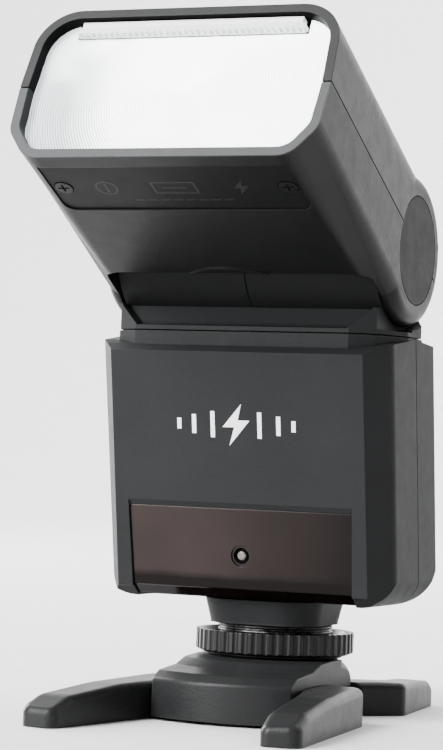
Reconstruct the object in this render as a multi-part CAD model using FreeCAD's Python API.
import FreeCAD, Part
import math
import os

# A compact speedlight flash standing on its folding table stand.
# Millimetres, +Z up, front of the flash towards -Y, origin at the tripod socket under the stand.
# Three frames are used: the stand and foot stand upright, the body leans forward, the head is tilted up.

V = FreeCAD.Vector
X_AXIS = V(1, 0, 0)
Y_AXIS = V(0, 1, 0)
Z_AXIS = V(0, 0, 1)

# ---- general fits
GAP = 0.15                # between pieces that only face each other
RUN = 0.06                # radial running clearance of a pin or shaft
WALL = 1.8                # moulded wall thickness
GROOVE = 0.3              # width of a visible parting groove

# ---- folding stand
CAP_TOP = 12.1            # top face of the shoe
CAP_HALF = 14.8           # half width between the flat sides
SKIRT_R = 31.0            # curved front skirt
SKIRT_TOP = 8.2
STEP_1 = (28.3, 9.6)      # radius and height of the lower step's edge
LEDGE = (21.8, 10.3)
STEP_2 = (18.8, 11.6)
DECK_R = 15.4             # flat top deck
HUB_R = 15.8              # round back of the cap
CAP_UNDER = 6.5           # underside of the cap's deck
BAR_DISC_R = 15.2
LOWER_DISC = (0.9, 3.4)   # height range of the lower bar's hub disc
UPPER_DISC = (3.6, 6.2)
POST_R = 5.5              # tripod insert, which the bars turn on
SOCKET_R = 3.175          # 1/4 inch tripod thread
SOCKET_DEPTH = 5.6
FLANGE_R = 8.0

# ---- accessory shoe and metal foot
SHOE_WIDTH = 18.6
SHOE_PLATE = 2.0          # thickness of the foot plate
SHOE_LIP = 1.5            # thickness of the shoe's lips
SHOE_NECK = 12.4          # width between the lips
SHOE_STOP_Y = -9.6        # front end of the shoe channel
FOOT_Z = CAP_TOP - SHOE_LIP - SHOE_PLATE - 0.05
STEM_R = 11.7
STEM_TOP = 19.2
STEM_BOTTOM = 14.8        # clear of the pressure plate when the ring is screwed up
THREAD_PITCH = 1.0
PIN_R = 1.1
PIN_Y = -5.2
NECK_HALF_Y = 6.9

# ---- lock ring
RING_R = 16.1
RING_Z0 = 13.43
RING_Z1 = 17.3
RING_SKIRT = 12.7         # lower edge of the ring
RING_RIBS = 48
PLATE_R = 13.9

# ---- body, leaning forward about a line across the foot
LEAN = 9.42               # degrees
LEAN_Z = 24.1
BODY_HALF = 31.0
BODY_TAPER = 0.4          # each side narrows by this much towards the foot
PANEL_HALF = 26.8
FRONT_Y = -18.65
BEVEL_Y = -12.9
SEAM_Y = 0.47
BACK_Y = 13.3
BODY_BOTTOM = 23.7        # level underside
SHOULDER = ((-40.0, 67.0), (-27.0, 72.9), (-24.0, 74.35), (-21.6, 75.1), (-8.4, 76.85), (4.0, 75.9),
            (30.0, 73.8))
BOTTOM_CORNER = 6.5
WINDOW_HALF = 23.95
WINDOW_TOP = 45.4
WINDOW_SINK = 0.55
SENSOR_Z = 35.8
DIAL_Z = 38.0
DISPLAY_Z = 63.4
TEST_Z = 39.6
DOOR_Z = (27.6, 58.2)
HINGE_X = -29.95
HINGE_Y = 3.0
BARREL_R = 0.95
HINGE_PIN_R = 0.4
DOOR_SWING = 15.06        # the door's reach from its hinge, so that its inner edge swings clear
SCREW_LEN = 7.8

# ---- swivel and neck
SWIVEL_Y = -11.0
COLLAR_TOP = 77.0
BASE_Z = 77.25
BASE_LEDGE = 78.1         # rim in front of the scoop, and plate under the cheeks
BASE_TOP = 82.4
PIVOT_Y = -9.6
PIVOT_Z = 94.4
DRUM_R = 15.0
DRUM_HALF = 27.5
SLEEVE_R = 8.0
SLEEVE_TOP = 78.8
WIRE_R = 5.5              # cable way through the neck

# ---- head, in its own frame: pivot at the origin, front towards -Y, top towards +Z
TILT = 27.0
HEAD_LEN = 57.9
HEAD_HALF = 31.6
HEAD_SIDE = 31.2          # half width at the top and bottom of the sides, for draft
HEAD_TOP = 17.75
TOP_HALF = 22.5
UPPER_CORNER = 9.0
SEAM_U = 0.33
BELLY_HALF = 26.6
CHEEK_R = 15.2
CHEEK_IN = 28.2
COVER_R = 10.8
AXLE_R = 5.0
LENS_F = 55.4             # front face of the lens
LENS_THICK = 2.0
TRAY_U = 12.75

# ---- penlight cells
CELL_R = 7.25
CELL_LEN = 50.5
CELL_Y = -4.5
CELL_Z = (35.3, 50.4)


# ------------------------------------------------------------------ shape helpers

def box(x0, x1, y0, y1, z0, z1):
    return Part.makeBox(x1 - x0, y1 - y0, z1 - z0, V(x0, y0, z0))


def mirror_x(shape):
    return shape.mirror(V(0, 0, 0), X_AXIS)


def cylinder(radius, start, end):
    axis = V(*end) - V(*start)
    return Part.makeCylinder(radius, axis.Length, V(*start), axis)


def cone(r0, r1, start, end):
    axis = V(*end) - V(*start)
    return Part.makeCone(r0, r1, axis.Length, V(*start), axis)


def join(shapes):
    result = shapes[0].multiFuse(shapes[1:]) if len(shapes) > 1 else shapes[0]
    return result.removeSplitter()


def group(shapes):
    """Separate solids kept apart in one node."""
    return Part.makeCompound(shapes)


def outline(points):
    """2D outline from (a, b) or (a, b, radius) corners, as pairs or triples of 2D points."""
    edges = []
    count = len(points)
    ends = []
    for i, corner in enumerate(points):
        here = V(corner[0], corner[1], 0)
        radius = corner[2] if len(corner) > 2 else 0
        before = V(points[i - 1][0], points[i - 1][1], 0)
        after = V(points[(i + 1) % count][0], points[(i + 1) % count][1], 0)
        if radius == 0:
            ends.append((here, None, here))
            continue
        back = (before - here).normalize()
        ahead = (after - here).normalize()
        half = math.acos(max(-1, min(1, back.dot(ahead)))) / 2
        reach = radius / math.tan(half)
        bisector = (back + ahead).normalize()
        centre = here + bisector * (radius / math.sin(half))
        ends.append((here + back * reach, centre - bisector * radius, here + ahead * reach))
    for i in range(count):
        start, middle, end = ends[i]
        if middle is not None:
            edges.append((start, middle, end))
        following = ends[(i + 1) % count][0]
        if (following - end).Length > 1e-6:
            edges.append((end, following))
    return edges


def to_wire(edges, place):
    """Wire from an outline, each 2D point put into space by place(a, b)."""
    made = []
    for edge in edges:
        spots = [place(p.x, p.y) for p in edge]
        if len(spots) == 2:
            made.append(Part.makeLine(*spots))
        else:
            made.append(Part.Arc(*spots).toShape())
    return Part.Wire(made)


def prism(points, axis, low, high):
    """Outline extruded along an axis: x takes (y, z) points, y takes (x, z), z takes (x, y)."""
    places = {"x": lambda a, b: V(low, a, b), "y": lambda a, b: V(a, low, b), "z": lambda a, b: V(a, b, low)}
    directions = {"x": X_AXIS, "y": Y_AXIS, "z": Z_AXIS}
    face = Part.Face(to_wire(outline(points), places[axis]))
    return face.extrude(directions[axis] * (high - low))


def turned(profile, origin=(0, 0, 0), axis=Z_AXIS):
    """Solid of revolution from (r, h) points, about an axis through origin."""
    wire = to_wire(outline(profile), lambda r, h: V(r, 0, h))
    solid = Part.Face(wire).revolve(V(0, 0, 0), Z_AXIS, 360)
    solid.Placement = FreeCAD.Placement(V(*origin), FreeCAD.Rotation(Z_AXIS, axis))
    return solid


def plate(half_x, half_y, radius, low, high, cx=0.0, cy=0.0):
    corners = [(cx - half_x, cy - half_y, radius), (cx + half_x, cy - half_y, radius),
               (cx + half_x, cy + half_y, radius), (cx - half_x, cy + half_y, radius)]
    return prism(corners, "z", low, high)


def upright_plate(half_x, half_z, radius, low, high, cx=0.0, cz=0.0):
    corners = [(cx - half_x, cz - half_z, radius), (cx + half_x, cz - half_z, radius),
               (cx + half_x, cz + half_z, radius), (cx - half_x, cz + half_z, radius)]
    return prism(corners, "y", low, high)


def leaning(shape):
    """Body frame to the object's frame."""
    moved = shape.copy()
    moved.rotate(V(0, 0, LEAN_Z), X_AXIS, LEAN)
    return moved


def tilted(shape):
    """Head frame to the object's frame."""
    moved = shape.copy()
    moved.rotate(V(0, 0, 0), X_AXIS, -TILT)
    moved.translate(V(0, PIVOT_Y, PIVOT_Z))
    return moved


# ------------------------------------------------------------------ folding stand

def cap_profile():
    """Stepped top of the cap as radius and height, closed along the axis."""
    return [(0, CAP_UNDER), (SKIRT_R, CAP_UNDER), (SKIRT_R, SKIRT_TOP, 0.8), STEP_1 + (0.6,), LEDGE,
            STEP_2 + (0.5,), (DECK_R, CAP_TOP), (0, CAP_TOP)]


def stand_cap():
    front = turned(cap_profile()).common(box(-CAP_HALF, CAP_HALF, -SKIRT_R, 0, 0, CAP_TOP))
    back_profile = [(0, CAP_UNDER), (HUB_R, CAP_UNDER), (HUB_R, CAP_TOP, 4.5), (0, CAP_TOP)]
    back = turned(back_profile).common(box(-HUB_R, HUB_R, -1.5, HUB_R, 0, CAP_TOP))
    back = back.common(box(-CAP_HALF, CAP_HALF, -2, HUB_R, 0, CAP_TOP))
    skirt = cylinder(SKIRT_R, (0, 0, 0.6), (0, 0, CAP_UNDER + 0.5))
    skirt = skirt.cut(cylinder(SKIRT_R - 2.4, (0, 0, 0), (0, 0, CAP_UNDER + 1)))
    skirt = skirt.common(box(-CAP_HALF, CAP_HALF, -SKIRT_R, -10, 0, CAP_TOP))
    cap = join([front, back, skirt])
    channel_floor = FOOT_Z - 0.1
    channel = box(-SHOE_WIDTH / 2 - 0.15, SHOE_WIDTH / 2 + 0.15, SHOE_STOP_Y, 20, channel_floor, CAP_TOP - SHOE_LIP)
    mouth = box(-SHOE_NECK / 2 - 0.3, SHOE_NECK / 2 + 0.3, SHOE_STOP_Y, 20, channel_floor, CAP_TOP + 1)
    contact_relief = box(-6.5, 6.5, SHOE_STOP_Y, 20, channel_floor - 0.5, CAP_TOP)
    pin_groove = box(-1.6, 1.6, SHOE_STOP_Y, 20, CAP_UNDER + 0.75, CAP_TOP)
    seat = cylinder(POST_R - 1.0, (0, 0, 0), (0, 0, CAP_UNDER + 0.6))
    return cap.cut(join([channel, mouth, contact_relief, pin_groove])).cut(seat)


def softened(foot, radius, reach):
    """Foot with the long edges and ends of its top rounded beyond reach from the hub."""
    edges = []
    for edge in foot.Edges:
        middle = edge.CenterOfMass
        level = abs(edge.tangentAt(edge.FirstParameter).z) < 0.9
        if level and middle.z > 2.5 and abs(middle.y) > reach and abs(middle.x) > 8:
            edges.append(edge)
    return foot.makeFillet(radius, edges)


def long_foot():
    """Front left foot."""
    plan = [(-12.5, -5.0), (-23.3, -9.3, 2.2), (-28.7, -57.2, 2.4), (-20.9, -58.2, 2.0), (-17.2, -33.0, 12),
            (-15.2, -24.6), (-9.0, -12.0)]
    side = [(0, 0), (-58.8, 0, 0.4), (-58.6, 3.4, 1.5), (-51.5, 5.9, 9), (-34.0, 7.2, 30), (-13.0, 7.6), (0, 7.6)]
    return softened(prism(plan, "z", 0, 9).common(prism(side, "x", -40, 0)), 1.7, 10)


def short_foot():
    """Rear right foot, at the other end of the same bar."""
    plan = [(6.0, 8.0), (15.5, 10.0), (22.5, 17.3, 2.4), (19.4, 44.6, 2.0), (11.2, 44.9, 2.0), (13.2, 26.5, 5),
            (5.0, 15.5)]
    side = [(0, 0), (45.2, 0, 0.5), (44.9, 3.6, 1.2), (41.0, 5.6, 4), (14.0, 6.9), (0, 6.9)]
    return softened(prism(plan, "z", 0, 8).common(prism(side, "x", 0, 40)), 1.3, 12)


def stand_bar(disc, mirrored):
    """One bar: hub disc at its own level, a long foot and a short foot."""
    feet = join([long_foot(), short_foot()])
    bore = cylinder(POST_R + RUN, (0, 0, -1), (0, 0, 9))
    hub = cylinder(BAR_DISC_R, (0, 0, disc[0]), (0, 0, disc[1]))
    clear = cylinder(BAR_DISC_R + 0.35, (0, 0, -1), (0, 0, 9))
    under_cap = join([cylinder(HUB_R + 0.4, (0, 0, UPPER_DISC[1]), (0, 0, 9)),
                      box(-CAP_HALF - 0.4, CAP_HALF + 0.4, -SKIRT_R - 1, 0, UPPER_DISC[1], 9)])
    arms = feet.common(box(-40, 40, -60, 60, disc[0], disc[1]))
    bar = join([feet.cut(clear).cut(under_cap), arms, hub]).cut(bore)
    return mirror_x(bar) if mirrored else bar


def tripod_insert():
    post = cylinder(POST_R, (0, 0, 0.6), (0, 0, CAP_UNDER))
    tip = cylinder(POST_R - 1.05, (0, 0, CAP_UNDER - 0.5), (0, 0, CAP_UNDER + 0.5))
    flange = cylinder(FLANGE_R, (0, 0, 0), (0, 0, 0.7))
    socket = cylinder(SOCKET_R, (0, 0, -1), (0, 0, SOCKET_DEPTH))
    return join([post, tip, flange]).cut(socket)


# ------------------------------------------------------------------ foot and lock ring

def thread_profile(radius, low, high):
    """Closed (r, h) outline of a ridged shaft from the axis out."""
    turns = int((high - low) / THREAD_PITCH)
    points = [(0, low), (radius - 0.5, low)]
    for turn in range(turns):
        base = low + turn * THREAD_PITCH
        points.append((radius, base + THREAD_PITCH * 0.45))
        points.append((radius, base + THREAD_PITCH * 0.6))
        points.append((radius - 0.5, base + THREAD_PITCH))
    points += [(radius - 0.5, high), (0, high)] if base + THREAD_PITCH < high - 1e-6 else [(0, high)]
    return points


def shoe_foot():
    """Metal foot plate, square neck and threaded stem in one piece."""
    rails = plate(SHOE_WIDTH / 2, 8.9, 1.2, FOOT_Z, FOOT_Z + SHOE_PLATE, 0, 0)
    neck = plate(SHOE_NECK / 2, NECK_HALF_Y, 0.6, FOOT_Z + SHOE_PLATE - 0.1, STEM_BOTTOM + 0.1)
    stem = turned(thread_profile(STEM_R, STEM_BOTTOM, STEM_TOP))
    foot = join([rails, neck, stem])
    pin_bore = cylinder(PIN_R + RUN, (0, PIN_Y, FOOT_Z - 1), (0, PIN_Y, STEM_TOP + 1))
    foot = foot.cut(pin_bore)
    for x, y in contact_places():
        foot = foot.cut(cylinder(0.85, (x, y, FOOT_Z - 1), (x, y, FOOT_Z + 1.7)))
    for x, y in foot_screw_places():
        foot = foot.cut(cylinder(0.9, (x, y, STEM_TOP - 4), (x, y, STEM_TOP + 1)))
    return foot


def contact_places():
    return [(0, 0.6), (-4.2, 2.4), (4.2, 2.4), (-3.0, -3.4), (3.0, -3.4)]


def foot_screw_places():
    return [(-8, -5), (8, -5), (-8, 5), (8, 5)]


def contact_pins():
    pins = []
    for x, y in contact_places():
        pins.append(join([cylinder(0.8, (x, y, FOOT_Z + 0.2), (x, y, FOOT_Z + 1.6)),
                          cone(0.45, 0.8, (x, y, FOOT_Z - 0.35), (x, y, FOOT_Z + 0.2))]))
    return group(pins)


def locking_pin():
    shaft = cylinder(PIN_R, (0, PIN_Y, FOOT_Z - 0.75), (0, PIN_Y, STEM_TOP - 2.5))
    tip = cone(PIN_R - 0.35, PIN_R, (0, PIN_Y, FOOT_Z - 1.05), (0, PIN_Y, FOOT_Z - 0.75))
    return join([shaft, tip])


def pressure_plate():
    disc = turned([(0, CAP_TOP + 0.1), (PLATE_R, CAP_TOP + 0.1, 0.4), (PLATE_R, RING_Z0 - 0.06, 0.3),
                   (0, RING_Z0 - 0.06)])
    window = plate(SHOE_NECK / 2 + 0.1, NECK_HALF_Y + 0.1, 0.7, CAP_TOP - 1, RING_Z0 + 1)
    return disc.cut(window)


def lock_ring():
    """Dished ring with moulded grip ribs and a skirt round the pressure plate."""
    bore = STEM_R + RUN
    skirt = PLATE_R + 0.3
    body = turned([(bore, RING_Z0), (skirt, RING_Z0), (skirt, RING_SKIRT), (skirt + 0.6, RING_SKIRT),
                   (RING_R, RING_SKIRT + 0.6), (RING_R, RING_Z1, 0.2), (RING_R - 1.1, RING_Z1, 0.2),
                   (RING_R - 1.9, RING_Z0 + 1.9), (bore, RING_Z0 + 1.7)])
    flutes = []
    for i in range(RING_RIBS):
        angle = 2 * math.pi * i / RING_RIBS
        x = (RING_R + 0.4) * math.cos(angle)
        y = (RING_R + 0.4) * math.sin(angle)
        flutes.append(cylinder(0.8, (x, y, RING_SKIRT - 1), (x, y, RING_Z1 + 1)))
    return body.cut(flutes)


def foot_block():
    """Tapered block between the stem and the body, with a heel that fills the corner behind it."""
    def plan(half, front, back, corner):
        return [(-half, front, corner), (half, front, corner), (half, back, corner), (-half, back, corner)]
    low = plan(11.6, -12.6, 11.6, 7.5)
    high = plan(12.6, -13.6, 12.4, 8.0)
    bottom = to_wire(outline(low), lambda a, b: V(a, b, STEM_TOP))
    top = to_wire(outline(high), lambda a, b: V(a, b, BODY_BOTTOM))
    block = Part.makeLoft([bottom, top], True, True)
    rim = prism(low, "z", STEM_TOP - 0.4, STEM_TOP).cut(cylinder(STEM_R - 0.45, (0, 0, 0), (0, 0, 30)))
    heel = prism(high, "z", BODY_BOTTOM, BODY_BOTTOM + 6)
    heel = heel.common(prism([(1, 23), (12.5, 23), (12.5, 24.1), (8.2, 29.6), (1, 29.6)], "x", -20, 20))
    heel = heel.cut(body_solid(0))
    block = join([block, heel, rim])
    wells = [cylinder(0.9, (x, y, STEM_TOP - 1), (x, y, BODY_BOTTOM - 1.4)) for x, y in foot_screw_places()]
    heads = [cylinder(1.8, (x, y, BODY_BOTTOM - 1.5), (x, y, BODY_BOTTOM + 1)) for x, y in foot_screw_places()]
    pin_room = cylinder(PIN_R + 0.6, (0, PIN_Y, STEM_TOP - 1), (0, PIN_Y, BODY_BOTTOM - 0.8))
    return block.cut(join(wells + heads + [pin_room]))


def screw(radius, head_r, head_h, start, end):
    """Pan screw whose head's top is at start, with a cross recess, and its tip at end."""
    axis = (V(*end) - V(*start)).normalize()
    under_head = V(*start) + axis * head_h
    head = Part.makeCylinder(head_r, head_h, V(*start), axis)
    shaft = Part.makeCylinder(radius, (V(*end) - under_head).Length, under_head, axis)
    arm = head_r * 0.62
    slot = box(-arm, arm, -0.22, 0.22, 0, head_h * 0.6).fuse(box(-0.22, 0.22, -arm, arm, 0, head_h * 0.6))
    slot.Placement = FreeCAD.Placement(V(*start), FreeCAD.Rotation(Z_AXIS, axis))
    return join([head, shaft]).cut(slot)


# ------------------------------------------------------------------ body

def body_section(inset, half):
    """Plan of the body, inset evenly."""
    side = half - inset
    corner = max(2.4 - inset, 1.0)
    soft = max(3.2 - inset, 1.0)
    bevel = PANEL_HALF - inset * 0.55
    knee = BEVEL_Y + inset * 0.45
    return outline([(-bevel, FRONT_Y + inset), (bevel, FRONT_Y + inset), (side, knee, soft),
                    (side, BACK_Y - inset, corner), (-side, BACK_Y - inset, corner), (-side, knee, soft)])


def body_solid(inset):
    """The body's outer form, or that form shrunk by inset."""
    low, high = 10.0, 95.0
    wires = []
    for z, half in ((low, BODY_HALF - BODY_TAPER * 1.3), (high, BODY_HALF + BODY_TAPER * 0.3)):
        wires.append(to_wire(body_section(inset, half), lambda a, b, z=z: V(a, b, z)))
    column = leaning(Part.makeLoft(wires, True, True))
    under = BODY_BOTTOM + inset
    side_view = [(-16.2, under), (4.0, under, 10), (14.0, under + 11.0)]
    side_view += [(y, z - inset) for y, z in reversed(SHOULDER)]
    side_view += [(-40.0, under + 5.5), (-18.6, under + 1.9, 1.5)]
    reach = BODY_HALF + 0.2 - BODY_TAPER - inset
    front_view = [(-BODY_HALF - 2, 95), (-BODY_HALF - 2, 45), (-reach, 45), (-reach, under, BOTTOM_CORNER),
                  (reach, under, BOTTOM_CORNER), (reach, 45), (BODY_HALF + 2, 45), (BODY_HALF + 2, 95)]
    solid = column.common(prism(side_view, "x", -40, 40))
    return solid.common(prism(front_view, "y", -45, 40))


def swivel_hole(radius):
    return cylinder(radius, (0, SWIVEL_Y, 60), (0, SWIVEL_Y, 90))


def window_region(margin):
    """Region of the front that the window fills, in the body frame."""
    top = WINDOW_TOP + margin
    half = WINDOW_HALF + margin
    return leaning(prism([(-half, top, 0.4), (-half + 0.7, 15), (half - 0.7, 15), (half, top, 0.4)], "y", -30, -9))


def door_region(margin):
    low, high = DOOR_Z
    return leaning(box(-40, -24, -12.2 - margin, HINGE_Y, low - margin, high + margin))


def hinge_room():
    """Clearance for the battery door's barrel and its end pins."""
    low, high = DOOR_Z
    barrel = cylinder(BARREL_R + 0.37, (HINGE_X, HINGE_Y, low), (HINGE_X, HINGE_Y, high))
    pins = cylinder(HINGE_PIN_R + RUN, (HINGE_X, HINGE_Y, low - 1.4), (HINGE_X, HINGE_Y, high + 1.4))
    return leaning(join([barrel, pins]))


def rear_button_places():
    return [(-17.7, 50.6), (-5.9, 50.6), (5.9, 50.6), (17.7, 50.6)]


def shells():
    """Front and rear shells, parted on one leaning plane with a fine groove."""
    outer = body_solid(0)
    cavity = body_solid(WALL)
    hollow = outer.cut(cavity)
    skin = outer.cut(body_solid(0.5))
    groove = skin.common(leaning(box(-40, 40, SEAM_Y, SEAM_Y + GROOVE, 10, 95)))
    front_half = leaning(box(-50, 50, -40, SEAM_Y, 0, 110))
    rear_half = leaning(box(-50, 50, SEAM_Y, 40, 0, 110))

    sink = outer.cut(body_solid(WINDOW_SINK)).common(window_region(0))
    pane_room = outer.cut(body_solid(WALL - 0.1)).common(window_region(0))
    brow = prism([(FRONT_Y - 0.02, WINDOW_TOP + 1.2), (FRONT_Y + WINDOW_SINK, WINDOW_TOP - 0.01),
                  (FRONT_Y - 2, WINDOW_TOP - 0.01), (FRONT_Y - 2, WINDOW_TOP + 1.2)], "x",
                 -WINDOW_HALF, WINDOW_HALF)
    front = hollow.common(front_half)
    front = front.cut(join([sink, pane_room])).cut(leaning(brow))
    for x in (-14, 14):
        front = front.cut(leaning(cylinder(2.6, (x, -30, 37.0), (x, -10, 37.0))))
    front = front.cut(leaning(cylinder(2.1, (0, -30, SENSOR_Z), (0, -10, SENSOR_Z))))

    rear = hollow.common(rear_half).cut(groove)
    rear = rear.cut(leaning(upright_plate(19.0, 8.8, 1.0, BACK_Y - 0.9, BACK_Y + 5, 0, DISPLAY_Z)))
    rear = rear.cut(leaning(upright_plate(17.2, 7.2, 0.6, 5, BACK_Y + 5, 0, DISPLAY_Z)))
    for x, z in rear_button_places():
        rear = rear.cut(leaning(upright_plate(4.3, 2.0, 1.2, 5, BACK_Y + 5, x, z)))
    rear = rear.cut(leaning(cylinder(10.2, (0, 5, DIAL_Z), (0, BACK_Y + 5, DIAL_Z))))
    rear = rear.cut(leaning(cylinder(3.35, (-18.5, 5, TEST_Z), (-18.5, BACK_Y + 5, TEST_Z))))
    rear = rear.cut(leaning(upright_plate(2.1, 5.2, 0.8, 5, BACK_Y + 5, 18.5, TEST_Z)))
    rear = rear.cut(leaning(box(-40, -24, 5.2, 8.6, 60.5, 69.5)))
    for x, z in case_screw_places():
        rear = rear.cut(leaning(cylinder(0.95, (x, 0, z), (x, 20, z))))
        rear = rear.cut(leaning(cylinder(1.85, (x, BACK_Y - 1.0, z), (x, 20, z))))

    holes = [swivel_hole(12.0), door_region(0.0), hinge_room()]
    front = front.cut(join(holes))
    rear = rear.cut(join(holes))
    for x, y in foot_screw_places():
        front = front.cut(cylinder(1.8, (x, y, 20), (x, y, 24.6)))
        rear = rear.cut(cylinder(1.8, (x, y, 20), (x, y, 24.6)))
    return front, rear


def af_window():
    """Dark pane that wraps under the body's front edge."""
    skin = body_solid(WINDOW_SINK).cut(body_solid(WALL - 0.1))
    pane = skin.common(window_region(-0.06)).common(leaning(box(-40, 40, -30, -12.9, 0, 90)))
    return pane.cut(leaning(cylinder(2.05, (0, -30, SENSOR_Z), (0, -10, SENSOR_Z))))


def slave_sensor():
    y = FRONT_Y + WINDOW_SINK
    barrel = cylinder(2.0, (0, y + 0.35, SENSOR_Z), (0, y + 4.2, SENSOR_Z))
    dish = cone(1.85, 1.25, (0, y, SENSOR_Z), (0, y + 1.2, SENSOR_Z))
    lens = Part.makeSphere(1.45, V(0, y + 1.7, SENSOR_Z)).common(barrel)
    return leaning(join([barrel.cut(dish), lens]))


def af_lamps():
    lamps = []
    for x in (-14, 14):
        can = cylinder(2.4, (x, FRONT_Y + 2.4, 37), (x, FRONT_Y + 5.6, 37))
        dome = Part.makeSphere(2.2, V(x, FRONT_Y + 2.6, 37))
        dome = dome.common(box(x - 3, x + 3, FRONT_Y + 2.0, FRONT_Y + 3, 30, 45))
        lamps.append(leaning(join([can, dome])))
    return group(lamps)


def battery_cells():
    cells = []
    for z in CELL_Z:
        can = cylinder(CELL_R, (-CELL_LEN / 2, CELL_Y, z), (CELL_LEN / 2 - 1.2, CELL_Y, z))
        nub = cylinder(2.7, (CELL_LEN / 2 - 1.2, CELL_Y, z), (CELL_LEN / 2, CELL_Y, z))
        cells.append(leaning(join([can, nub])))
    return group(cells)


def battery_box():
    """Open-sided tray that holds the two cells, with screw lugs at the back."""
    shell = box(-26.0, 27.9, CELL_Y - 7.7, CELL_Y + 8.9, CELL_Z[0] - 7.5, CELL_Z[1] + 8.6)
    room = [cylinder(CELL_R + 0.12, (-30, CELL_Y, z), (25.6, CELL_Y, z)) for z in CELL_Z]
    front_cut = box(-30, 25.6, -30, CELL_Y - 4.0, CELL_Z[0] - 8, CELL_Z[1] + 6)
    contact_gap = box(25.5, 27.2, CELL_Y - 6.5, CELL_Y + 6.5, CELL_Z[0] - 6.5, CELL_Z[1] + 7.4)
    lugs = [box(x - 1.9, x + 1.9, 3.0, BACK_Y - WALL - 0.1, z - 1.9, z + 1.9) for x, z in case_screw_places()]
    holes = [cylinder(0.85, (x, 1, z), (x, 20, z)) for x, z in case_screw_places()]
    tray = join([shell.cut(join(room + [front_cut, contact_gap]))] + lugs)
    return leaning(tray.cut(join(holes))).common(body_solid(WALL + GAP))


def case_screw_places():
    return [(-24.0, 55.6), (25.6, 55.6), (-24.0, 33.4), (25.6, 33.4)]


def body_screws():
    """Equal screws: four close the case from behind, four hold the metal foot in its block."""
    case = [leaning(screw(0.8, 1.7, 0.9, (x, BACK_Y - 0.1, z), (x, BACK_Y - 0.1 - SCREW_LEN, z)))
            for x, z in case_screw_places()]
    foot = [screw(0.8, 1.7, 0.9, (x, y, BODY_BOTTOM - 0.2), (x, y, BODY_BOTTOM - 0.2 - SCREW_LEN))
            for x, y in foot_screw_places()]
    return group(case + foot)


def battery_contacts():
    plates = []
    for z in CELL_Z:
        plates.append(leaning(box(26.0, 26.5, CELL_Y - 4.5, CELL_Y + 4.5, z - 5, z + 5)))
    return group(plates)


def battery_door():
    """Side door with moulded hinge barrel, end pins, spring carrier and finger grooves."""
    skin = body_solid(0.0).cut(body_solid(WALL)).common(door_region(-GAP))
    skin = skin.cut(leaning(box(-40, -24, HINGE_Y - 0.7, 10, 20, 70)))
    low, high = DOOR_Z
    barrel = cylinder(BARREL_R, (HINGE_X, HINGE_Y, low + GAP), (HINGE_X, HINGE_Y, high - GAP))
    pins = cylinder(HINGE_PIN_R, (HINGE_X, HINGE_Y, low - 1.2), (HINGE_X, HINGE_Y, high + 1.2))
    carrier = box(HINGE_X + 0.6, HINGE_X + 2.6, -10.0, 1.2, low + 3, high - 3)
    swing = cylinder(DOOR_SWING, (HINGE_X, HINGE_Y, low - 3), (HINGE_X, HINGE_Y, high + 3))
    door = join([skin, leaning(join([barrel, pins, carrier]))]).common(leaning(swing))
    grooves = [box(-40, -30.35, -11.2, -8.2, z, z + 0.5) for z in (39.4, 40.9, 42.4, 43.9, 45.4)]
    return door.cut(leaning(join(grooves)))


def main_capacitor():
    can = cylinder(6.3, (-23, -4.5, 65.4), (14, -4.5, 65.4))
    groove = cylinder(7.5, (11, -4.5, 65.4), (12, -4.5, 65.4)).cut(cylinder(5.8, (10, -4.5, 65.4), (13, -4.5, 65.4)))
    return leaning(can.cut(groove))


def inverter_transformer():
    core = box(16.2, 27.0, -10, 0.5, 60.5, 70)
    coil = cylinder(4.2, (21.6, 0.5, 65.2), (21.6, 2.5, 65.2))
    return leaning(join([core, coil]))


def main_board():
    board = box(-21.7, 21.7, 4.9, 6.1, 28.6, 70.0)
    chips = [box(-4, 4, 6.1, 7.3, 54, 60), box(-18, -9, 6.1, 7.8, 63, 69), box(8, 16, 6.1, 7.1, 62, 69)]
    switches = [box(x - 1.5, x + 1.5, 6.1, 8.4, z - 1.5, z + 1.5)
                for x, z in rear_button_places() + [(-18.5, TEST_Z), (0, DIAL_Z)]]
    encoder = turned([(3.2, 0), (7.0, 0), (7.0, 4.9), (3.2, 4.9)], (0, 6.1, DIAL_Z), Y_AXIS)
    return leaning(join([board, encoder] + chips + switches))


def display_window():
    return leaning(upright_plate(18.9, 8.7, 0.95, BACK_Y - 0.85, BACK_Y - 0.1, 0, DISPLAY_Z))


def display_module():
    return leaning(upright_plate(17.0, 7.0, 0.5, BACK_Y - 3.3, BACK_Y - 1.0, 0, DISPLAY_Z))


def function_button(index):
    x, z = rear_button_places()[index]
    cap = upright_plate(4.15, 1.85, 1.1, BACK_Y - 1.6, BACK_Y + 0.9, x, z)
    stem = cylinder(1.0, (x, BACK_Y - 3.4, z), (x, BACK_Y - 1.6, z))
    return leaning(join([cap, stem]))


def control_dial():
    """Rotating dial ring with a knurled edge."""
    low = BACK_Y - 1.4
    ring = turned([(4.6, 0), (9.9, 0), (9.9, 1.6), (9.5, 3.0, 0.4), (4.6, 2.4)], (0, low, DIAL_Z), Y_AXIS)
    cuts = []
    for i in range(24):
        angle = 2 * math.pi * i / 24
        x = 9.95 * math.cos(angle)
        z = DIAL_Z + 9.95 * math.sin(angle)
        cuts.append(cylinder(0.45, (x, BACK_Y + 0.1, z), (x, BACK_Y + 3, z)))
    return leaning(ring.cut(cuts))


def set_button():
    cap = cylinder(4.45, (0, BACK_Y - 1.4, DIAL_Z), (0, BACK_Y + 1.3, DIAL_Z))
    stem = cylinder(1.2, (0, BACK_Y - 3.6, DIAL_Z), (0, BACK_Y - 1.4, DIAL_Z))
    return leaning(join([cap, stem]))


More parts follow.
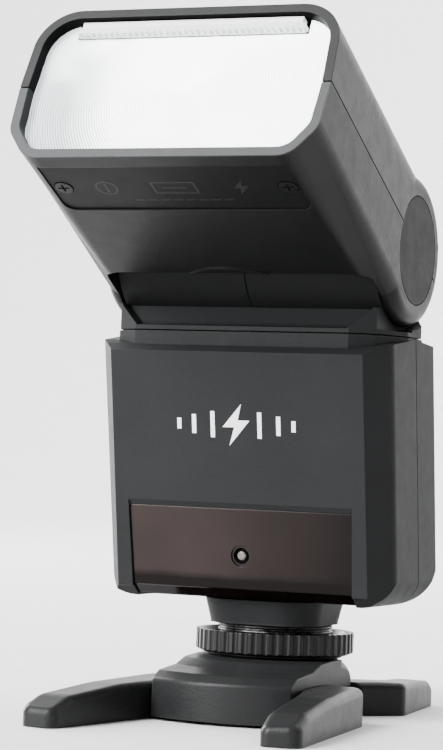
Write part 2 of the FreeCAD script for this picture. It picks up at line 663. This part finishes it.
def test_button():
    cap = cylinder(3.2, (-18.5, BACK_Y - 1.6, TEST_Z), (-18.5, BACK_Y + 0.8, TEST_Z))
    stem = cylinder(1.0, (-18.5, BACK_Y - 3.4, TEST_Z), (-18.5, BACK_Y - 1.6, TEST_Z))
    return leaning(join([cap, stem]))


def power_switch():
    """Sliding switch knob, shown at its lower position."""
    middle = TEST_Z - 2.5
    knob = upright_plate(1.95, 2.6, 0.7, BACK_Y - 1.5, BACK_Y + 0.9, 18.5, middle)
    ribs = [box(16, 21, BACK_Y + 0.5, BACK_Y + 2, middle + z, middle + z + 0.4) for z in (-1.4, -0.2, 1.0)]
    return leaning(knob.cut(ribs))


def usb_socket():
    shell = prism([(5.3, 60.7, 1), (8.5, 60.7, 1), (8.5, 69.3, 1), (5.3, 69.3, 1)], "x", -30.4, -24.2)
    bore = prism([(5.7, 61.1, 0.8), (8.1, 61.1, 0.8), (8.1, 68.9, 0.8), (5.7, 68.9, 0.8)], "x", -31, -25)
    tongue = box(-29.8, -25.0, 6.6, 7.2, 62.0, 68.0)
    return leaning(join([shell.cut(bore), tongue]))


# ------------------------------------------------------------------ swivel and neck

def neck_plan(inset):
    right = [(22.8, -24.4 + inset), (27.5 - inset, -21.6), (30.8 - inset, -12.0), (30.8 - inset, -3.8, 1.2),
             (27.0 - inset, 2.4 - inset, 3)]
    return right + [(-corner[0],) + corner[1:] for corner in reversed(right)]


def swivel_collar():
    """Fixed top plate that the neck turns on, with a boss through the shells."""
    top = prism(neck_plan(0), "z", 70, COLLAR_TOP).cut(body_solid(0))
    top = top.common(box(-40, 40, -40, 20, 72.5, COLLAR_TOP))
    boss = cylinder(11.85, (0, SWIVEL_Y, 73.2), (0, SWIVEL_Y, COLLAR_TOP))
    return join([top, boss]).cut(swivel_hole(SLEEVE_R + RUN))


def swivel_base():
    """Neck foot: thin plate under the cheeks, scooped block under the drum, low wall behind."""
    block = prism(neck_plan(0.15), "z", BASE_Z, BASE_TOP)
    axis_low = (-40, PIVOT_Y, PIVOT_Z)
    axis_high = (40, PIVOT_Y, PIVOT_Z)
    trough = cylinder(CHEEK_R + 0.6, axis_low, axis_high)
    over_plate = box(-40, 40, -40, PIVOT_Y, BASE_LEDGE, 90)
    sides = join([trough, over_plate]).cut(box(-DRUM_HALF, DRUM_HALF, -60, 60, 0, 200))
    scoop = prism([(-23.7, BASE_LEDGE), (-20.4, BASE_LEDGE + 0.4, 1.5), (-18.4, 82.2), (-18.4, 90), (-40, 90),
                   (-40, BASE_LEDGE)], "x", -DRUM_HALF, DRUM_HALF)
    trapezoid = prism([(-22.3, BASE_LEDGE - 0.1), (22.3, BASE_LEDGE - 0.1), (26.8, 82.0), (26.8, 90), (-26.8, 90),
                       (-26.8, 82.0)], "y", -40, 0)
    brow = prism([(-40, 81.4), (-23.6, 81.4), (-20.0, 90), (-40, 90)], "x", -DRUM_HALF - 1, DRUM_HALF + 1)
    drum_room = cylinder(DRUM_R + 0.05, axis_low, axis_high).common(box(-DRUM_HALF, DRUM_HALF, -60, 60, 0, 200))
    base = block.cut(sides).cut(scoop.common(trapezoid)).cut(brow).cut(drum_room)
    base = base.cut(cylinder(SLEEVE_R + 0.05, (0, SWIVEL_Y, 70), (0, SWIVEL_Y, SLEEVE_TOP + 0.05)))
    base = base.cut(cylinder(WIRE_R, (0, SWIVEL_Y, 70), (0, SWIVEL_Y, 90)))
    for x in (-18, 18):
        base = base.cut(cylinder(1.0, (x, -9.6, 70), (x, -9.6, 90)))
        base = base.cut(cylinder(1.9, (x, -9.6, 70), (x, -9.6, BASE_Z + 0.9)))
    return base


def neck_screws():
    return group([screw(0.85, 1.75, 0.8, (x, PIVOT_Y, BASE_Z + 0.05), (x, PIVOT_Y, BASE_Z + 4.4)) for x in (-18, 18)])


def neck_half_right():
    """One hollow half of the neck drum; the other is its mirror image."""
    start = (0.12, PIVOT_Y, PIVOT_Z)
    end = (DRUM_HALF, PIVOT_Y, PIVOT_Z)
    drum = cylinder(DRUM_R, start, end)
    room = cylinder(DRUM_R - WALL, (-1, PIVOT_Y, PIVOT_Z), (DRUM_HALF - 2.4, PIVOT_Y, PIVOT_Z))
    wire_hole = cylinder(WIRE_R, (0, SWIVEL_Y, 75), (0, SWIVEL_Y, PIVOT_Z - 8))
    axle_hole = cylinder(AXLE_R + RUN, start, (DRUM_HALF + 2, PIVOT_Y, PIVOT_Z))
    pad = box(14.5, 21.5, PIVOT_Y - 3, PIVOT_Y + 3, PIVOT_Z - DRUM_R + 0.6, PIVOT_Z - DRUM_R + 4.2)
    pilot = cylinder(0.85, (18, PIVOT_Y, 75), (18, PIVOT_Y, PIVOT_Z - DRUM_R + 3.4))
    head_of_drum = cylinder(1.0, (18, PIVOT_Y, 70), (18, PIVOT_Y, PIVOT_Z - DRUM_R + 0.5))
    return join([drum.cut(room), pad]).cut(join([wire_hole, axle_hole, pilot, head_of_drum]))


def swivel_sleeve():
    """Hollow swivel bolt pressed into the neck base, which the cable passes through."""
    tube = cylinder(SLEEVE_R, (0, SWIVEL_Y, 71.3), (0, SWIVEL_Y, SLEEVE_TOP))
    bore = cylinder(SLEEVE_R - 1.6, (0, SWIVEL_Y, 60), (0, SWIVEL_Y, 90))
    return tube.cut(bore)


def swivel_nut():
    """Click ring clamped on the sleeve below the collar."""
    ring = cylinder(11.2, (0, SWIVEL_Y, 71.6), (0, SWIVEL_Y, 72.9))
    ring = ring.cut(cylinder(SLEEVE_R + 0.03, (0, SWIVEL_Y, 70), (0, SWIVEL_Y, 75)))
    notches = []
    for i in range(12):
        angle = 2 * math.pi * i / 12
        x = 11.4 * math.cos(angle)
        y = SWIVEL_Y + 11.4 * math.sin(angle)
        notches.append(cylinder(0.7, (x, y, 70), (x, y, 75)))
    return ring.cut(notches)


# ------------------------------------------------------------------ head

def head_section(inset, low_corner, belly, seam_half, side_half, fillet):
    """Cross section of the head at one distance from the pivot, as (x, u) points with arcs."""
    top = HEAD_TOP - inset
    flat = TOP_HALF - inset * 0.2
    side = side_half - inset
    seam = seam_half - inset
    corner = UPPER_CORNER
    reach = side - flat
    drop = top - corner
    bend = 0.7071
    right = [V(flat, top, 0), V(flat + reach * bend, corner + drop * bend, 0), V(side, corner, 0)]
    left = [V(-p.x, p.y, 0) for p in reversed(right)]
    half = BELLY_HALF - inset * 0.4
    bottom = -belly + inset
    lower = low_corner + inset * 0.45
    soft = fillet - inset * 0.5
    keel = outline([(seam, SEAM_U), (side, lower, soft), (half, bottom, soft), (-half, bottom, soft),
                    (-side, lower, soft), (-seam, SEAM_U)])[:-1]
    return [tuple(right), (right[2], V(seam, SEAM_U, 0))] + keel + [(V(-seam, SEAM_U, 0), left[0]), tuple(left),
                                                                     (left[2], right[0])]


def head_solid(inset):
    """Outer form of the head, or that form shrunk by inset, in the head frame."""
    front = head_section(inset, -9.6, 15.7, HEAD_HALF, HEAD_SIDE, 5.0)
    root = head_section(inset, -13.6, 14.9, HEAD_HALF - 0.2, HEAD_SIDE - 0.1, 3.4)
    front_wire = to_wire(front, lambda a, b: V(a, -HEAD_LEN, b))
    root_wire = to_wire(root, lambda a, b: V(a, 0, b))
    barrel = Part.makeLoft([front_wire, root_wire], True, True)
    return join([barrel, head_shoulder(inset), head_round(inset, 2.8)])


def head_shoulder(inset):
    """Top of the head behind the pivot, which slopes down to the rounded back."""
    side = HEAD_SIDE - 0.1 - inset
    knee = CHEEK_R * 0.7071 - inset * 0.7

    def half_section(y, top, flat, corner):
        bend = 0.7071
        right = [V(flat, y, top), V(flat + (side - flat) * bend, y, corner + (top - corner) * bend),
                 V(side, y, corner)]
        left = [V(-p.x, y, p.z) for p in reversed(right)]
        floor = [V(-side, y, -1), V(side, y, -1)]
        return Part.Wire([Part.Arc(*left).toShape(), Part.makeLine(left[2], right[0]), Part.Arc(*right).toShape(),
                          Part.makeLine(right[2], floor[1]), Part.makeLine(floor[1], floor[0]),
                          Part.makeLine(floor[0], left[0])])
    flat = TOP_HALF - inset * 0.2
    full = half_section(-0.5, HEAD_TOP - inset, flat, UPPER_CORNER)
    crest = half_section(3.6, HEAD_TOP - inset, flat, UPPER_CORNER)
    end = half_section(knee, knee, 28.2 - inset, knee - 4.7)
    return join([Part.makeLoft([full, crest], True, True), Part.makeLoft([crest, end], True, True)])


def head_round(inset, corner):
    """Rounded back of the head, turned about the tilt axis."""
    radius = CHEEK_R - inset
    half = HEAD_SIDE - 0.1 - inset
    return turned([(0, -half), (radius, -half, corner), (radius, half, corner), (0, half)], (0, 0, 0), X_AXIS)


def neck_room():
    """Space that the neck drum and its base need inside the head."""
    drum = cylinder(DRUM_R + 0.35, (-CHEEK_IN, 0, 0), (CHEEK_IN, 0, 0))
    mouth = prism([(-CHEEK_IN, 22), (-CHEEK_IN, -15.8, 4.5), (CHEEK_IN, -15.8, 4.5), (CHEEK_IN, 22)], "z", -20, -6)
    return join([drum, mouth])


def head_shells():
    """Upper and lower shells with a fine parting groove, open at the lens."""
    outer = head_solid(0)
    cavity = head_solid(WALL).common(box(-40, 40, -HEAD_LEN - 1, -14.0, -30, 30))
    cheek_room = cylinder(DRUM_R + 0.35, (-CHEEK_IN, 0, 0), (CHEEK_IN, 0, 0))
    hollow = outer.cut(cavity).cut(join([neck_room(), cheek_room]))
    for side in (-1, 1):
        face = side * (HEAD_SIDE - 1.1)
        end = side * 40
        hollow = hollow.cut(cylinder(COVER_R + 0.12, (face, 0, 0), (end, 0, 0)))
        hollow = hollow.cut(cylinder(AXLE_R, (0, 0, 0), (end, 0, 0)))
    skin = outer.cut(head_solid(0.5))
    groove = skin.common(box(-40, 40, -HEAD_LEN - 1, 20, SEAM_U - GROOVE, SEAM_U))
    upper = hollow.common(box(-40, 40, -70, 30, SEAM_U, 30))
    rim_groove = box(-40, 40, -HEAD_LEN - 1, -HEAD_LEN + 0.4, SEAM_U - GROOVE, SEAM_U)
    lower = hollow.common(box(-40, 40, -70, 30, -30, SEAM_U)).cut(join([groove, rim_groove]))
    recess = prism([(-25.4, -54.2), (25.4, -54.2), (25.4, -39.2, 2.5), (-25.4, -39.2, 2.5)], "z", -20, -14)
    recess = recess.common(prism([(-60, -17), (-30, -17), (-30, -14.55), (-60, -14.98)], "x", -40, 40))
    lower = lower.cut(recess)
    bosses = []
    for x in (-22.9, 22.9):
        boss = cylinder(2.4, (x, -46.8, -14.4), (x, -46.8, -11.2))
        bosses.append(boss.common(head_solid(0.6)))
    lower = join([lower] + bosses)
    for x in (-22.9, 22.9):
        lower = lower.cut(cylinder(0.95, (x, -46.8, -20), (x, -46.8, -10)))
    crescent = cylinder(16.0, (0, -2.4, -15.6), (0, -2.4, -14.2)).cut(cylinder(15.3, (0, -2.4, -17), (0, -2.4, -14)))
    crescent = crescent.common(box(-12, 12, -20, -16.0, -20, -14))
    lower = join([lower, crescent.cut(head_solid(0.2))])
    return upper, lower


def rating_plate():
    """Blank recessed plate under the head."""
    slab = prism([(-25.3, -54.1), (25.3, -54.1), (25.3, -39.3, 2.4), (-25.3, -39.3, 2.4)], "z", -20, -14)
    layer = prism([(-60, -15.42), (-30, -15.0), (-30, -14.55), (-60, -14.98)], "x", -40, 40)
    pad = slab.common(layer)
    for x in (-22.9, 22.9):
        pad = pad.cut(cylinder(1.95, (x, -46.8, -20), (x, -46.8, -10)))
    return pad


def head_screws():
    return group([screw(0.9, 1.8, 0.5, (x, -46.8, -15.38), (x, -46.8, -11.4)) for x in (-22.9, 22.9)])


def fresnel_lens():
    """Lens that fills the front opening, notched at the top for the pull-out panels."""
    block = head_solid(WALL + 0.05).common(box(-40, 40, -LENS_F, -LENS_F + LENS_THICK, -30, 30))
    return block.cut(box(-23.75, 23.75, -LENS_F - 1, -LENS_F + LENS_THICK + 1, TRAY_U - 0.1, 30))


def panel_tray():
    return box(-23.6, 23.6, -LENS_F, -19.0, TRAY_U, TRAY_U + 0.3)


def wide_panel():
    """Clear pull-out diffuser with a moulded front lip."""
    sheet = box(-22.6, 22.6, -LENS_F + 0.5, -24.0, TRAY_U + 0.4, TRAY_U + 1.3)
    lip = prism([(-LENS_F - 1.5, TRAY_U + 0.1), (-LENS_F + 0.5, TRAY_U + 0.1), (-LENS_F + 0.5, TRAY_U + 1.5),
                 (-LENS_F - 1.5, TRAY_U + 1.5)], "x", -23.2, 23.2)
    lip = lip.cut(box(-30, 30, -LENS_F, -LENS_F + 3, TRAY_U - 1, TRAY_U + 0.35))
    notches = [box(x - 0.3, x + 0.3, -LENS_F - 2, -LENS_F - 0.6, TRAY_U, TRAY_U + 0.45)
               for x in [-22.4 + 1.28 * i for i in range(36)]]
    return join([sheet, lip]).cut(notches)


def catch_card():
    """White pull-out bounce card above the diffuser."""
    sheet = box(-22.4, 22.4, -LENS_F + 0.5, -24.0, TRAY_U + 1.7, TRAY_U + 2.3)
    lip = box(-22.6, 22.6, -LENS_F - 1.3, -LENS_F + 0.5, TRAY_U + 1.65, TRAY_U + 3.0)
    return join([sheet, lip])


def reflector():
    """Trough reflector that narrows to the flash tube."""
    def mouth(half_x, half_z, y):
        return to_wire(outline([(-half_x, -half_z, 1.5), (half_x, -half_z, 1.5), (half_x, half_z, 1.5),
                                (-half_x, half_z, 1.5)]), lambda a, b: V(a, y, b))
    outer = Part.makeLoft([mouth(17.5, 3.6, -29.5), mouth(21.5, 8.2, -36.0), mouth(23.2, 10.4, -43.0)], True, True)
    inner = Part.makeLoft([mouth(16.8, 2.9, -30.2), mouth(20.8, 7.5, -36.0), mouth(22.6, 9.8, -43.01)], True, True)
    ends = cylinder(2.0, (-30, -32.6, 0), (30, -32.6, 0))
    return outer.cut(inner).cut(ends)


def flash_tube():
    return cylinder(1.75, (-21.4, -32.6, 0), (21.4, -32.6, 0))


def tube_caps():
    caps = []
    for side in (-1, 1):
        caps.append(cylinder(2.9, (side * 21.5, -32.6, 0), (side * 24.6, -32.6, 0)))
    return group(caps)


def zoom_carriage():
    """Moving bracket behind the reflector with ears on the guide rods and lead screw."""
    back = box(-24.9, 24.9, -29.3, -27.9, -6.5, 6.5)
    arms = [box(24.9, 28.2, -35.5, -27.9, 3.2, 8.8), box(-28.2, -24.9, -35.5, -27.9, 3.2, 8.8),
            box(24.9, 28.2, -35.5, -27.9, -9.5, -3.0), box(-28.2, -24.9, -35.5, -27.9, -9.5, -6.0)]
    webs = [box(24.8, 25.8, -35.5, -27.9, -6.5, 6.5), box(-25.8, -24.8, -35.5, -27.9, -6.5, 6.5)]
    frame = join([back] + arms + webs)
    holes = [cylinder(1.0 + RUN, (x, -60, 6.0), (x, 0, 6.0)) for x in (-26.8, 26.8)]
    screw_hole = cylinder(1.1 + RUN, (26.8, -60, -6.4), (26.8, 0, -6.4))
    return frame.cut(join(holes + [screw_hole]))


def guide_rods():
    return group([cylinder(1.0, (x, -51.5, 6.0), (x, -19.0, 6.0)) for x in (-26.8, 26.8)])


def rod_holder():
    """Cross frame behind the zoom carriage that carries the rods and motor."""
    frame = box(-28.9, 28.9, -20.6, -18.4, 3.0, 9.0)
    legs = [box(-28.9, -20.5, -20.6, -18.4, -9.8, 3.0), box(20.5, 28.9, -20.6, -18.4, -2.2, 3.0)]
    holes = [cylinder(1.0, (x, -30, 6.0), (x, 0, 6.0)) for x in (-26.8, 26.8)]
    return join([frame] + legs).cut(join(holes))


def zoom_motor():
    can = cylinder(3.6, (24.6, -24.6, -6.4), (24.6, -17.4, -6.4))
    can = can.common(box(10, 28.9, -30, 0, -20, 20))
    return can.cut(cylinder(1.15, (26.8, -30, -6.4), (26.8, -23.0, -6.4)))


def lead_screw():
    return turned([(0, 0), (0.9, 0), (1.1, 0.3), (1.1, 27.6), (0.9, 28.0), (0, 28.0)], (26.8, -23.2, -6.4), V(0, -1, 0))


def tilt_axles():
    """Hollow axles fixed in the head's cheeks, each with a click wheel inside the drum."""
    axles = []
    for side in (-1, 1):
        shaft = cylinder(AXLE_R, (side * 22.6, 0, 0), (side * (HEAD_SIDE - 1.1), 0, 0))
        wheel = cylinder(8.4, (side * 22.6, 0, 0), (side * 24.6, 0, 0))
        notches = []
        for degrees in (90, 135, 150, 165, 180):
            angle = math.radians(degrees - TILT)
            spot = (8.9 * math.cos(angle), 8.9 * math.sin(angle))
            notches.append(cylinder(0.9, (side * 20, spot[0], spot[1]), (side * 26, spot[0], spot[1])))
        bore = cylinder(AXLE_R - 1.6, (side * 20, 0, 0), (side * 40, 0, 0))
        axles.append(join([shaft, wheel]).cut(join(notches + [bore])))
    return group(axles)


def tilt_springs():
    """Leaf springs that ride on the click wheels, fixed in the neck drum."""
    springs = []
    for side in (-1, 1):
        leaf = box(side * 23.6 - 0.9, side * 23.6 + 0.9, PIVOT_Y - 6.5, PIVOT_Y + 6.5, PIVOT_Z + 9.3, PIVOT_Z + 9.7)
        foot = box(side * 23.6 - 0.9, side * 23.6 + 0.9, PIVOT_Y - 6.5, PIVOT_Y - 5.9, PIVOT_Z + 9.7, PIVOT_Z + 11.3)
        springs.append(join([leaf, foot]))
    return group(springs)


def hinge_covers():
    covers = []
    for side in (-1, 1):
        face = turned([(0, 0), (COVER_R, 0), (COVER_R, 1.05, 0.3), (0, 1.05)],
                      (side * (HEAD_SIDE - 1.1), 0, 0), V(side, 0, 0))
        covers.append(face)
    return group(covers)


# ------------------------------------------------------------------ output

def build():
    front_shell, rear_shell = shells()
    upper_shell, lower_shell = head_shells()
    neck_right = neck_half_right()
    nodes = {
        "stand_cap": stand_cap(),
        "stand_bar_lower": stand_bar(LOWER_DISC, False),
        "stand_bar_upper": stand_bar(UPPER_DISC, True),
        "tripod_insert": tripod_insert(),
        "shoe_foot": shoe_foot(),
        "contact_pins": contact_pins(),
        "locking_pin": locking_pin(),
        "pressure_plate": pressure_plate(),
        "lock_ring": lock_ring(),
        "foot_block": foot_block(),
        "front_shell": front_shell,
        "rear_shell": rear_shell,
        "af_window": af_window(),
        "slave_sensor": slave_sensor(),
        "af_lamps": af_lamps(),
        "battery_cells": battery_cells(),
        "battery_box": battery_box(),
        "battery_contacts": battery_contacts(),
        "battery_door": battery_door(),
        "body_screws": body_screws(),
        "main_capacitor": main_capacitor(),
        "inverter_transformer": inverter_transformer(),
        "main_board": main_board(),
        "display_window": display_window(),
        "display_module": display_module(),
        "control_dial": control_dial(),
        "set_button": set_button(),
        "test_button": test_button(),
        "power_switch": power_switch(),
        "usb_socket": usb_socket(),
        "swivel_collar": swivel_collar(),
        "swivel_base": swivel_base(),
        "neck_half_right": neck_right,
        "neck_half_left": mirror_x(neck_right),
        "neck_screws": neck_screws(),
        "swivel_sleeve": swivel_sleeve(),
        "swivel_nut": swivel_nut(),
        "tilt_springs": tilt_springs(),
    }
    for index in range(4):
        nodes["function_button_%d" % (index + 1)] = function_button(index)
    in_head = {
        "head_upper_shell": upper_shell,
        "head_lower_shell": lower_shell,
        "rating_plate": rating_plate(),
        "head_screws": head_screws(),
        "fresnel_lens": fresnel_lens(),
        "panel_tray": panel_tray(),
        "wide_panel": wide_panel(),
        "catch_card": catch_card(),
        "reflector": reflector(),
        "flash_tube": flash_tube(),
        "tube_caps": tube_caps(),
        "zoom_carriage": zoom_carriage(),
        "guide_rods": guide_rods(),
        "rod_holder": rod_holder(),
        "zoom_motor": zoom_motor(),
        "lead_screw": lead_screw(),
        "tilt_axles": tilt_axles(),
        "hinge_covers": hinge_covers(),
    }
    for name, shape in in_head.items():
        nodes[name] = tilted(shape)
    return nodes


os.makedirs("parts", exist_ok=True)
for node_name, node_shape in build().items():
    node_shape.exportStep("parts/%s.step" % node_name)
    print(node_name, len(node_shape.Solids), round(node_shape.Volume, 1), node_shape.isValid())
